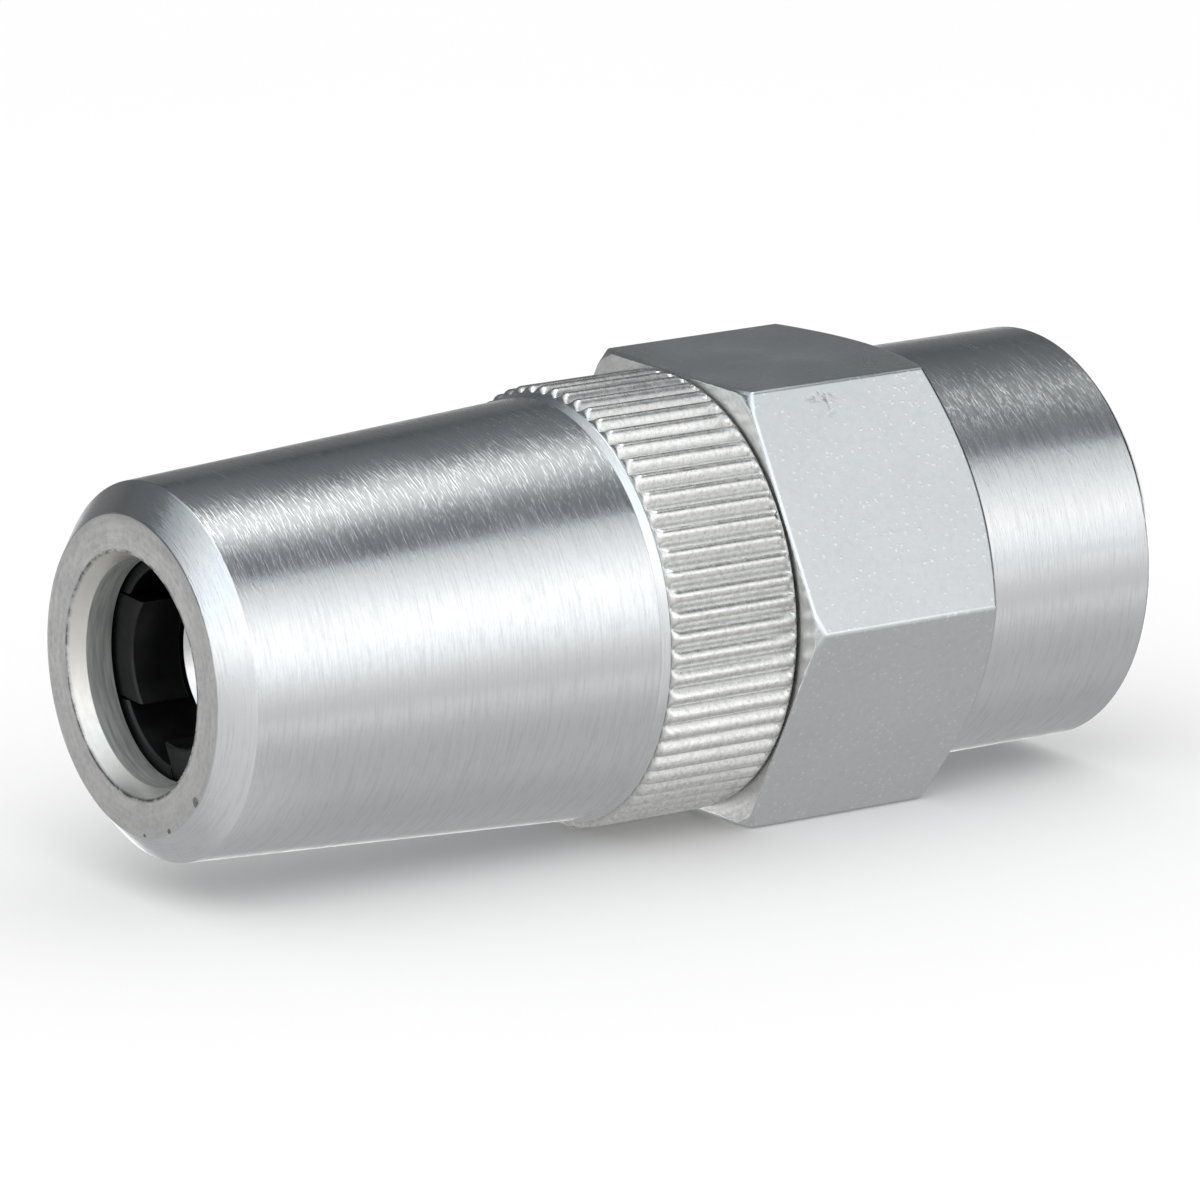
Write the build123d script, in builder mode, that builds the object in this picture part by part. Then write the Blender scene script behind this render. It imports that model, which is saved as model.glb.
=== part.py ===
from math import cos
from math import radians
from math import sin
from math import sqrt
from math import tan
import os
from build123d import *

# Grease coupler adapter. The origin is the centre of the inlet mouth, +X points out of the
# inlet, the nose lies towards -X and +Z stands on the upper flat of the hexagon.
# Stations are distances from the nose face, measured back along the axis. The bar size is
# both the diameter over the knurl and the width across the flats.

overall_length = 36.4
bar_size = 15.0

# nose sleeve, outside
sleeve_length = 21.35
front_face_diameter = 10.72
nose_chamfer_length = 0.91
nose_diameter = 12.66
knurl_shoulder = 0.35
knurl_length = 4.95
knurl_depth = 0.28
knurl_teeth = 66
knurl_rear_edge = 0.12

# nose sleeve, inside
mouth_diameter = 8.2
mouth_chamfer_length = 0.55
nipple_bore_diameter = 7.5
nipple_bore_depth = 1.52
cone_front_diameter = 8.5
cone_angle = 18.0
cavity_diameter = 11.5
thread_diameter = 13.0
thread_pitch = 1.0
thread_entry_length = 0.4

# hexagon body
hex_gap = 0.08
hex_length = 7.97
hex_rear_corner_angle = 31.0
hex_front_corner_cut = 0.36
hex_front_corner_angle = 30.0
hex_rear_edge = 0.1
collar_diameter = 14.2
collar_edge = 0.28
spigot_front_gap = 0.5
spigot_thread_clearance = 0.06
spigot_edge = 0.35

# inlet and check valve
inlet_thread_diameter = 10.0
inlet_thread_pitch = 1.0
inlet_depth = 7.6
inlet_mouth_edge = 0.4
inlet_mouth_margin = 0.05
inlet_drill_angle = 59.0
passage_diameter = 1.9
passage_length = 0.9
seat_angle = 45.0
ball_diameter = 3.175
ball_seat_clearance = 0.02
ball_lift = 0.7
valve_chamber_diameter = 4.4
check_wire_diameter = 0.3
check_spring_diameter = 2.3
check_spring_turns = 3
check_spring_reserve = 0.2
retainer_thickness = 1.0
retainer_clearance = 0.02
retainer_hole_diameter = 1.4
retainer_port_diameter = 0.7
retainer_port_circle = 3.1
retainer_port_count = 6

# jaws and their carrier
jaw_count = 3
jaw_turn = 3.0
jaw_width = 3.5
jaw_length = 6.6
jaw_front_gap = 0.1
jaw_cone_clearance = 0.05
jaw_rear_diameter = 10.0
jaw_edge = 0.08
lip_diameter = 5.3
lip_length = 1.83
pocket_diameter = 6.9
jaw_travel = 2.1
carrier_side_clearance = 0.08
carrier_seat_gap = 0.03
carrier_guide_diameter = 6.8
carrier_guide_length = 2.75
carrier_finger_diameter = 9.1
carrier_flange_diameter = 11.1
carrier_flange_thickness = 1.2
spreader_wire_diameter = 0.4
spreader_station = 4.8
spreader_groove_depth = 0.42
spreader_gap_angle = 24.0

# plunger, its seals and its spring
plunger_nose_diameter = 6.6
plunger_nose_gap = 0.12
plunger_fit_clearance = 0.02
plunger_rim_diameter = 5.22
plunger_rim_edge = 0.05
shoulder_diameter = 9.8
shoulder_thickness = 1.2
plunger_bore_diameter = 9.2
plunger_running_clearance = 0.05
plunger_passage_diameter = 1.8
seal_diameter = 4.4
seal_depth = 2.3
seal_stand = 0.1
seal_mouth_diameter = 3.0
seal_mouth_depth = 0.9
seal_hole_diameter = 1.5
seal_clearance = 0.02
spring_seat_depth = 2.55
spring_wire_diameter = 0.9
spring_diameter = 5.9
spring_turns = 6
spring_side_clearance = 0.15
skirt_rear_gap = 0.7
packing_land = 0.8
packing_gland_height = 1.05
packing_width = 1.1
packing_clearance = 0.02
backup_ring_width = 0.7
backup_ring_gap = 0.08

# friction ring at the rear of the sleeve thread
lock_ring_width = 1.0
lock_ring_thickness = 0.4
lock_ring_land = 0.9
lock_ring_clearance = 0.03

knurl_diameter = bar_size
hex_across_flats = bar_size
taper_rear_diameter = knurl_diameter - 2 * knurl_shoulder
thread_minor_diameter = thread_diameter - 1.0825 * thread_pitch
inlet_bore_diameter = inlet_thread_diameter - 1.0825 * inlet_thread_pitch
cone_slope = tan(radians(cone_angle))
jaw_cone_step = jaw_cone_clearance / cos(radians(cone_angle))

# stations of the nose sleeve
knurl_front = sleeve_length - knurl_length
shoulder_front = knurl_front - knurl_shoulder
cone_rear = nipple_bore_depth + (cavity_diameter - cone_front_diameter) / 2 / cone_slope

# stations of the jaws and the plunger
jaw_front = nipple_bore_depth + jaw_front_gap
jaw_rear = jaw_front + jaw_length
jaw_taper_rear = nipple_bore_depth + (
    jaw_rear_diameter / 2 + jaw_cone_step - cone_front_diameter / 2
) / cone_slope
lip_rear = jaw_front + lip_length
spreader_centre = jaw_front + spreader_station
carrier_seat = jaw_rear + carrier_seat_gap
carrier_rear = carrier_seat + carrier_flange_thickness
plunger_nose_front = lip_rear + plunger_nose_gap
seal_floor = plunger_nose_front + seal_depth
rim_bore_radius = plunger_rim_diameter / 2 - plunger_rim_edge
seal_front = plunger_nose_front + rim_bore_radius - seal_diameter / 2 - seal_clearance
shoulder_rear = carrier_rear + shoulder_thickness
spring_seat = carrier_rear + spring_seat_depth
spigot_front = shoulder_rear + jaw_travel + spigot_front_gap

# stations of the hexagon body and the check valve
hex_front = sleeve_length + hex_gap
hex_rear = hex_front + hex_length
inlet_floor = overall_length - inlet_depth
seat_small_end = inlet_floor - passage_length
seat_slope = tan(radians(seat_angle))
seat_apex = seat_small_end + passage_diameter / 2 / seat_slope
ball_reach = (ball_diameter / 2 + ball_seat_clearance) / sin(radians(seat_angle))
ball_centre = seat_apex - ball_reach
seat_large_end = seat_apex - valve_chamber_diameter / 2 / seat_slope
check_coil_radius = (check_spring_diameter - check_wire_diameter) / 2
check_wire_reach = ball_diameter / 2 + check_wire_diameter / 2 + ball_seat_clearance
check_coil_rear = ball_centre - sqrt(check_wire_reach**2 - check_coil_radius**2)
check_spring_solid = (check_spring_turns + 1) * check_wire_diameter
check_spring_length = check_spring_solid + ball_lift + check_spring_reserve
retainer_rear = check_coil_rear + check_wire_diameter / 2 - check_spring_length
retainer_front = retainer_rear - retainer_thickness
skirt_rear = retainer_front - jaw_travel - skirt_rear_gap

# stations of the seals
packing_rear = skirt_rear - packing_land
packing_front = packing_rear - packing_width
backup_front = packing_front - backup_ring_gap - backup_ring_width
gland_front = backup_front - backup_ring_gap
gland_diameter = plunger_bore_diameter - 2 * packing_gland_height
skirt_bore_diameter = spring_diameter + 2 * spring_side_clearance
lock_ring_rear = sleeve_length - lock_ring_land
lock_ring_front = lock_ring_rear - lock_ring_width
lock_ring_bore = thread_minor_diameter - 2 * spigot_thread_clearance + 2 * lock_ring_clearance
lock_groove_diameter = lock_ring_bore + 2 * lock_ring_thickness + 2 * lock_ring_clearance


def place(station, radius):
    """A point of a turned profile: its distance from the nose face and from the axis."""
    return (station - overall_length, radius)


def cone_radius(station):
    """Radius of the sleeve's inner cone at a station."""
    return cone_front_diameter / 2 + (station - nipple_bore_depth) * cone_slope


os.makedirs("parts", exist_ok=True)

# the sleeve: tapered nose, knurl, mouth, inner cone that closes the jaws, and thread bore
with BuildPart() as nose_sleeve:
    with BuildSketch(Plane.XZ):
        with BuildLine():
            Polyline(
                place(0, mouth_diameter / 2),
                place(0, front_face_diameter / 2),
                place(nose_chamfer_length, nose_diameter / 2),
                place(shoulder_front, taper_rear_diameter / 2),
                place(knurl_front, knurl_diameter / 2),
                place(sleeve_length - knurl_rear_edge, knurl_diameter / 2),
                place(sleeve_length, knurl_diameter / 2 - knurl_rear_edge),
                place(sleeve_length, thread_minor_diameter / 2 + thread_entry_length),
                place(sleeve_length - thread_entry_length, thread_minor_diameter / 2),
                place(lock_ring_rear + lock_ring_clearance, thread_minor_diameter / 2),
                place(lock_ring_rear + lock_ring_clearance, lock_groove_diameter / 2),
                place(lock_ring_front - lock_ring_clearance, lock_groove_diameter / 2),
                place(lock_ring_front - lock_ring_clearance, thread_minor_diameter / 2),
                place(spigot_front - thread_entry_length, thread_minor_diameter / 2),
                place(spigot_front - 2 * thread_entry_length, cavity_diameter / 2),
                place(cone_rear, cavity_diameter / 2),
                place(nipple_bore_depth, cone_front_diameter / 2),
                place(nipple_bore_depth, nipple_bore_diameter / 2),
                place(mouth_chamfer_length, nipple_bore_diameter / 2),
                close=True,
            )
        make_face()
    revolve(axis=Axis.X)
    with BuildSketch(Plane.YZ.offset(shoulder_front - overall_length)):
        with PolarLocations(knurl_diameter / 2, knurl_teeth):
            Rectangle(sqrt(2) * knurl_depth, sqrt(2) * knurl_depth, rotation=45)
    extrude(amount=sleeve_length - shoulder_front, mode=Mode.SUBTRACT)
nose_sleeve.part.label = "nose_sleeve"
export_step(nose_sleeve.part, "parts/nose_sleeve.step")

# the friction ring that grips the spigot and rides in the sleeve's rear groove
with BuildPart() as sleeve_lock_ring:
    with BuildSketch(Plane.YZ.offset(lock_ring_front - overall_length)):
        Circle(lock_ring_bore / 2 + lock_ring_thickness)
        Circle(lock_ring_bore / 2, mode=Mode.SUBTRACT)
    extrude(amount=lock_ring_width)
sleeve_lock_ring.part.label = "sleeve_lock_ring"
export_step(sleeve_lock_ring.part, "parts/sleeve_lock_ring.step")

# the body: hexagon with turned corners, collar, threaded spigot, and the bore from end to end
with BuildPart() as hex_body:
    corner_radius = hex_across_flats / sqrt(3)
    corner_rise = corner_radius - hex_across_flats / 2
    with BuildSketch(Plane.YZ.offset(hex_front - overall_length)):
        RegularPolygon(hex_across_flats / 2, 6, major_radius=False)
    extrude(amount=hex_length)
    with BuildSketch(Plane.XZ):
        with BuildLine():
            Polyline(
                place(hex_front, 0),
                place(hex_front, corner_radius - hex_front_corner_cut),
                place(
                    hex_front + hex_front_corner_cut * tan(radians(hex_front_corner_angle)),
                    corner_radius,
                ),
                place(
                    hex_rear
                    - (corner_rise + hex_rear_edge) * tan(radians(hex_rear_corner_angle)),
                    corner_radius,
                ),
                place(hex_rear, hex_across_flats / 2 - hex_rear_edge),
                place(hex_rear, 0),
                close=True,
            )
        make_face()
    revolve(axis=Axis.X, mode=Mode.INTERSECT)
    spigot_radius = thread_minor_diameter / 2 - spigot_thread_clearance
    with BuildSketch(Plane.XZ):
        with BuildLine():
            Polyline(
                place(spigot_front, 0),
                place(spigot_front, spigot_radius - spigot_edge),
                place(spigot_front + spigot_edge, spigot_radius),
                place(hex_rear, spigot_radius),
                place(hex_rear, collar_diameter / 2),
                place(overall_length - collar_edge, collar_diameter / 2),
                place(overall_length, collar_diameter / 2 - collar_edge),
                place(overall_length, 0),
                close=True,
            )
        make_face()
    revolve(axis=Axis.X)
    drill_reach = inlet_bore_diameter / 2 - passage_diameter / 2
    with BuildSketch(Plane.XZ):
        with BuildLine():
            Polyline(
                place(spigot_front, 0),
                place(spigot_front, plunger_bore_diameter / 2),
                place(retainer_rear, plunger_bore_diameter / 2),
                place(retainer_rear, valve_chamber_diameter / 2),
                place(seat_large_end, valve_chamber_diameter / 2),
                place(seat_small_end, passage_diameter / 2),
                place(inlet_floor, passage_diameter / 2),
                place(
                    inlet_floor + drill_reach / tan(radians(inlet_drill_angle)),
                    inlet_bore_diameter / 2,
                ),
                place(overall_length - inlet_mouth_edge, inlet_bore_diameter / 2),
                place(overall_length, inlet_thread_diameter / 2 + inlet_mouth_margin),
                place(overall_length, 0),
                close=True,
            )
        make_face()
    revolve(axis=Axis.X, mode=Mode.SUBTRACT)
hex_body.part.label = "hex_body"
export_step(hex_body.part, "parts/hex_body.step")

# the perforated disc that both springs bear on
with BuildPart() as valve_retainer:
    with BuildSketch(Plane.YZ.offset(retainer_front - overall_length)):
        Circle(plunger_bore_diameter / 2 - retainer_clearance)
        Circle(retainer_hole_diameter / 2, mode=Mode.SUBTRACT)
        with PolarLocations(retainer_port_circle / 2, retainer_port_count):
            Circle(retainer_port_diameter / 2, mode=Mode.SUBTRACT)
    extrude(amount=retainer_thickness)
valve_retainer.part.label = "valve_retainer"
export_step(valve_retainer.part, "parts/valve_retainer.step")

with BuildPart() as check_ball:
    with Locations((ball_centre - overall_length, 0, 0)):
        Sphere(ball_diameter / 2)
check_ball.part.label = "check_ball"
export_step(check_ball.part, "parts/check_ball.step")

# the light spring that holds the ball on its seat
with BuildPart() as check_spring:
    check_coil_front = retainer_rear + check_wire_diameter / 2
    check_coil_height = check_coil_rear - check_coil_front
    with BuildLine() as check_coil:
        Helix(
            check_coil_height / check_spring_turns,
            check_coil_height,
            check_coil_radius,
            center=(check_coil_front - overall_length, 0, 0),
            direction=(1, 0, 0),
        )
    with BuildSketch(Plane(check_coil.line @ 0, z_dir=check_coil.line % 0)):
        Circle(check_wire_diameter / 2)
    sweep(path=check_coil.line, is_frenet=True)
check_spring.part.label = "check_spring"
export_step(check_spring.part, "parts/check_spring.step")

# the plunger: nose with the seal's recess, shoulder, and skirt with the packing's gland
with BuildPart() as plunger:
    skirt_radius = plunger_bore_diameter / 2 - plunger_running_clearance
    rim_drop = (plunger_nose_diameter - plunger_rim_diameter) / 2
    with BuildSketch(Plane.XZ):
        with BuildLine():
            Polyline(
                place(seal_front, seal_diameter / 2 + seal_clearance),
                place(plunger_nose_front, rim_bore_radius),
                place(plunger_nose_front, plunger_rim_diameter / 2),
                place(plunger_nose_front + rim_drop, plunger_nose_diameter / 2),
                place(carrier_rear, plunger_nose_diameter / 2),
                place(carrier_rear, shoulder_diameter / 2),
                place(shoulder_rear, shoulder_diameter / 2),
                place(shoulder_rear, skirt_radius),
                place(gland_front, skirt_radius),
                place(gland_front, gland_diameter / 2),
                place(packing_rear, gland_diameter / 2),
                place(packing_rear, skirt_radius),
                place(skirt_rear, skirt_radius),
                place(skirt_rear, skirt_bore_diameter / 2),
                place(spring_seat, skirt_bore_diameter / 2),
                place(spring_seat, plunger_passage_diameter / 2),
                place(seal_floor, plunger_passage_diameter / 2),
                place(seal_floor, seal_diameter / 2 + seal_clearance),
                close=True,
            )
        make_face()
    revolve(axis=Axis.X)
plunger.part.label = "plunger"
export_step(plunger.part, "parts/plunger.step")

# the seal that the nipple's tip presses on
with BuildPart() as nipple_seal:
    with BuildSketch(Plane.XZ):
        with BuildLine():
            Polyline(
                place(seal_front - seal_stand, seal_mouth_diameter / 2),
                place(seal_front - seal_stand, seal_diameter / 2 - seal_stand),
                place(seal_front, seal_diameter / 2),
                place(seal_floor, seal_diameter / 2),
                place(seal_floor, seal_hole_diameter / 2),
                place(seal_front + seal_mouth_depth, seal_hole_diameter / 2),
                close=True,
            )
        make_face()
    revolve(axis=Axis.X)
nipple_seal.part.label = "nipple_seal"
export_step(nipple_seal.part, "parts/nipple_seal.step")

with BuildPart() as plunger_packing:
    with BuildSketch(Plane.XZ):
        with Locations(
            place(
                (packing_front + packing_rear) / 2,
                (plunger_bore_diameter - packing_gland_height) / 2,
            )
        ):
            Circle(packing_gland_height / 2 - packing_clearance)
    revolve(axis=Axis.X)
plunger_packing.part.label = "plunger_packing"
export_step(plunger_packing.part, "parts/plunger_packing.step")

with BuildPart() as packing_backup_ring:
    with BuildSketch(Plane.YZ.offset(backup_front - overall_length)):
        Circle(plunger_bore_diameter / 2 - packing_clearance)
        Circle(gland_diameter / 2 + packing_clearance, mode=Mode.SUBTRACT)
    extrude(amount=backup_ring_width)
packing_backup_ring.part.label = "packing_backup_ring"
export_step(packing_backup_ring.part, "parts/packing_backup_ring.step")

# the strong spring inside the skirt, which drives the jaws forward into the cone
with BuildPart() as main_spring:
    coil_front = spring_seat + spring_wire_diameter / 2
    coil_height = retainer_front - spring_wire_diameter / 2 - coil_front
    with BuildLine() as main_coil:
        Helix(
            coil_height / spring_turns,
            coil_height,
            (spring_diameter - spring_wire_diameter) / 2,
            center=(coil_front - overall_length, 0, 0),
            direction=(1, 0, 0),
        )
    with BuildSketch(Plane(main_coil.line @ 0, z_dir=main_coil.line % 0)):
        Circle(spring_wire_diameter / 2)
    sweep(path=main_coil.line, is_frenet=True)
main_spring.part.label = "main_spring"
export_step(main_spring.part, "parts/main_spring.step")

# the carrier: a flange behind the jaws and the fingers that keep them apart in the cone
with BuildPart() as jaw_carrier:
    finger_root = carrier_finger_diameter / 2
    guide_rear = jaw_front + carrier_guide_length
    guide_rise = finger_root - carrier_guide_diameter / 2
    with BuildSketch(Plane.XZ):
        with BuildLine():
            Polyline(
                place(jaw_front, carrier_guide_diameter / 2 + jaw_edge),
                place(jaw_front, cone_radius(jaw_front) - jaw_cone_step),
                place(jaw_taper_rear, jaw_rear_diameter / 2),
                place(carrier_seat, jaw_rear_diameter / 2),
                place(carrier_seat, carrier_flange_diameter / 2),
                place(carrier_rear, carrier_flange_diameter / 2),
                place(carrier_rear, plunger_nose_diameter / 2 + plunger_fit_clearance),
                place(carrier_seat, plunger_nose_diameter / 2 + plunger_fit_clearance),
                place(carrier_seat, finger_root),
                place(guide_rear + guide_rise, finger_root),
                place(guide_rear, carrier_guide_diameter / 2),
                place(jaw_front + jaw_edge, carrier_guide_diameter / 2),
                close=True,
            )
        make_face()
    revolve(axis=Axis.X)
    with BuildSketch(Plane.YZ.offset(jaw_front - overall_length)):
        with PolarLocations(jaw_rear_diameter / 2, jaw_count, start_angle=jaw_turn):
            Rectangle(jaw_rear_diameter, jaw_width + 2 * carrier_side_clearance)
    extrude(amount=carrier_seat - jaw_front, mode=Mode.SUBTRACT)
jaw_carrier.part.label = "jaw_carrier"
export_step(jaw_carrier.part, "parts/jaw_carrier.step")

# the jaws: lips that grip behind the nipple's head, a pocket for the head, and a taper outside
for number in range(1, jaw_count + 1):
    with BuildPart() as jaw:
        lip_rise = (pocket_diameter - lip_diameter) / 2
        groove_half = spreader_wire_diameter / 2 + jaw_edge
        with BuildSketch(Plane.XZ):
            with BuildLine():
                Polyline(
                    place(jaw_front, lip_diameter / 2 + jaw_edge),
                    place(jaw_front, cone_radius(jaw_front) - jaw_cone_step - jaw_edge),
                    place(
                        jaw_front + jaw_edge,
                        cone_radius(jaw_front + jaw_edge) - jaw_cone_step,
                    ),
                    place(jaw_taper_rear, jaw_rear_diameter / 2),
                    place(jaw_rear, jaw_rear_diameter / 2),
                    place(jaw_rear, pocket_diameter / 2),
                    place(spreader_centre + groove_half, pocket_diameter / 2),
                    place(
                        spreader_centre + groove_half,
                        pocket_diameter / 2 + spreader_groove_depth,
                    ),
                    place(
                        spreader_centre - groove_half,
                        pocket_diameter / 2 + spreader_groove_depth,
                    ),
                    place(spreader_centre - groove_half, pocket_diameter / 2),
                    place(lip_rear + lip_rise, pocket_diameter / 2),
                    place(lip_rear, lip_diameter / 2),
                    place(jaw_front + jaw_edge, lip_diameter / 2),
                    close=True,
                )
            make_face()
        revolve(axis=Axis.X)
        with BuildSketch(Plane.YZ.offset(jaw_front - overall_length)):
            with PolarLocations(
                jaw_rear_diameter / 2,
                1,
                start_angle=jaw_turn + (number - 1) * 360 / jaw_count,
            ):
                Rectangle(jaw_rear_diameter, jaw_width)
        extrude(amount=jaw_length, mode=Mode.INTERSECT)
    jaw.part.label = f"jaw_{number}"
    export_step(jaw.part, f"parts/jaw_{number}.step")

# the split ring of spring wire that pushes the jaws outwards
with BuildPart() as jaw_spreader_ring:
    with BuildSketch(Plane.XZ):
        with Locations(
            place(
                spreader_centre,
                pocket_diameter / 2 + spreader_groove_depth - spreader_wire_diameter / 2
                - jaw_edge / 2,
            )
        ):
            Circle(spreader_wire_diameter / 2)
    revolve(axis=Axis.X, revolution_arc=360 - spreader_gap_angle)
jaw_spreader_ring.part.label = "jaw_spreader_ring"
export_step(jaw_spreader_ring.part, "parts/jaw_spreader_ring.step")
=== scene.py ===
import math

import bmesh
import bpy
from mathutils import Matrix, Vector


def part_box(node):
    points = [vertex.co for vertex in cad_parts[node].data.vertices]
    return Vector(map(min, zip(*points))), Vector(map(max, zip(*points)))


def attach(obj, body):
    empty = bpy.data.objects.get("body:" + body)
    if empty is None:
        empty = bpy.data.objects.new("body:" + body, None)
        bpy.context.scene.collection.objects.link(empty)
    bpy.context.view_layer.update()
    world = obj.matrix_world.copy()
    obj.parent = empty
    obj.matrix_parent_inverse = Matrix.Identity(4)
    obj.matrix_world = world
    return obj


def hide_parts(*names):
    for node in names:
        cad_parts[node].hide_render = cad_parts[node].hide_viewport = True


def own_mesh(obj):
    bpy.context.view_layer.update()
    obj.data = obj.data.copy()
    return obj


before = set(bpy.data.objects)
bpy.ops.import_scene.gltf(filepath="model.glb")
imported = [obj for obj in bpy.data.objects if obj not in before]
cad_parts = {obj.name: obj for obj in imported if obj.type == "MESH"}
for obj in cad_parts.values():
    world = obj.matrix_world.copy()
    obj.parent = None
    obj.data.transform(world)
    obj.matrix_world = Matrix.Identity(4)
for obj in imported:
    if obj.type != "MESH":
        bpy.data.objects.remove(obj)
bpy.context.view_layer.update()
mm = 0.001
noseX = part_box("nose_sleeve")[0].x      # the nose face; stations are counted back from it
partLength = -noseX / mm
slack = 0.01        # what lies this near to a boundary counts as on it, in millimetres
weld = 2e-7         # points nearer than this, in metres, are joined


def at(station, radius):
    return Vector((noseX + station * mm, 0, radius * mm))


def stationOf(vert):
    return (vert.co.x - noseX) / mm


def radiusOf(vert):
    return math.hypot(vert.co.y, vert.co.z) / mm


# a face's station and its distance from the axis
def placeOf(face):
    centre = face.calc_center_median()
    return (centre.x - noseX) / mm, math.hypot(centre.y, centre.z) / mm


def setRadius(vert, radius):
    scale = radius / radiusOf(vert)
    vert.co.y *= scale
    vert.co.z *= scale


# draws a closed profile, to be turned; a point has its station, its radius and how far its corner
# is broken
def drawProfile(bm, points):
    verts = [bm.verts.new(at(station, radius)) for station, radius, _ in points]
    for a, b in zip(verts, verts[1:] + verts[:1]):
        bm.edges.new((a, b))
    for width in sorted({point[2] for point in points if point[2]}):
        corners = [vert for vert, point in zip(verts, points) if point[2] == width]
        bmesh.ops.bevel(
            bm, geom=corners, offset=width * mm, offset_type="OFFSET", segments=3,
            profile=0.5, affect="VERTICES", material=-1, clamp_overlap=False,
        )


def turn(bm, steps, start=0.0, sweep=math.tau):
    if start:
        bmesh.ops.rotate(bm, verts=bm.verts, matrix=Matrix.Rotation(start, 3, "X"))
    full = sweep > math.tau - 0.001
    bmesh.ops.spin(
        bm, geom=bm.verts[:] + bm.edges[:], cent=(0, 0, 0), axis=(1, 0, 0),
        angle=sweep, steps=steps, use_merge=full,
    )


# cuts everything beyond a plane away and closes the cut with one flat face
def cutFlat(bm, point, normal):
    cut = bmesh.ops.bisect_plane(
        bm, geom=bm.verts[:] + bm.edges[:] + bm.faces[:], dist=1e-8,
        plane_co=point, plane_no=normal, clear_outer=True,
    )
    rim = [e for e in cut["geom_cut"] if isinstance(e, bmesh.types.BMEdge)]
    bmesh.ops.edgeloop_fill(bm, edges=rim)


def sharpEdges(bm, degrees, keep=lambda edge: True):
    limit = math.radians(degrees)
    return [e for e in bm.edges if len(e.link_faces) == 2
            and e.calc_face_angle(0) > limit and keep(e)]


def breakEdges(bm, edges, width, segments=2, clamp=True):
    bmesh.ops.bevel(
        bm, geom=edges, offset=width * mm, offset_type="OFFSET", segments=segments,
        profile=0.5, affect="EDGES", material=-1, clamp_overlap=clamp,
    )


def finishPiece(bm, name, body, node, materials, sharpAngle=40):
    bmesh.ops.remove_doubles(bm, verts=bm.verts, dist=weld)
    bmesh.ops.recalc_face_normals(bm, faces=bm.faces)
    mesh = bpy.data.meshes.new(name)
    bm.to_mesh(mesh)
    bm.free()
    for material in materials:
        mesh.materials.append(material)
    mesh.shade_smooth()
    mesh.set_sharp_from_angle(angle=math.radians(sharpAngle))
    piece = bpy.data.objects.new(name, mesh)
    bpy.context.scene.collection.objects.link(piece)
    weighted = piece.modifiers.new("evenShading", "WEIGHTED_NORMAL")
    weighted.mode = "FACE_AREA"
    weighted.keep_sharp = True
    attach(piece, body)
    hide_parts(node)
    print("made", name, len(mesh.polygons), "faces")
    return piece


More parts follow.
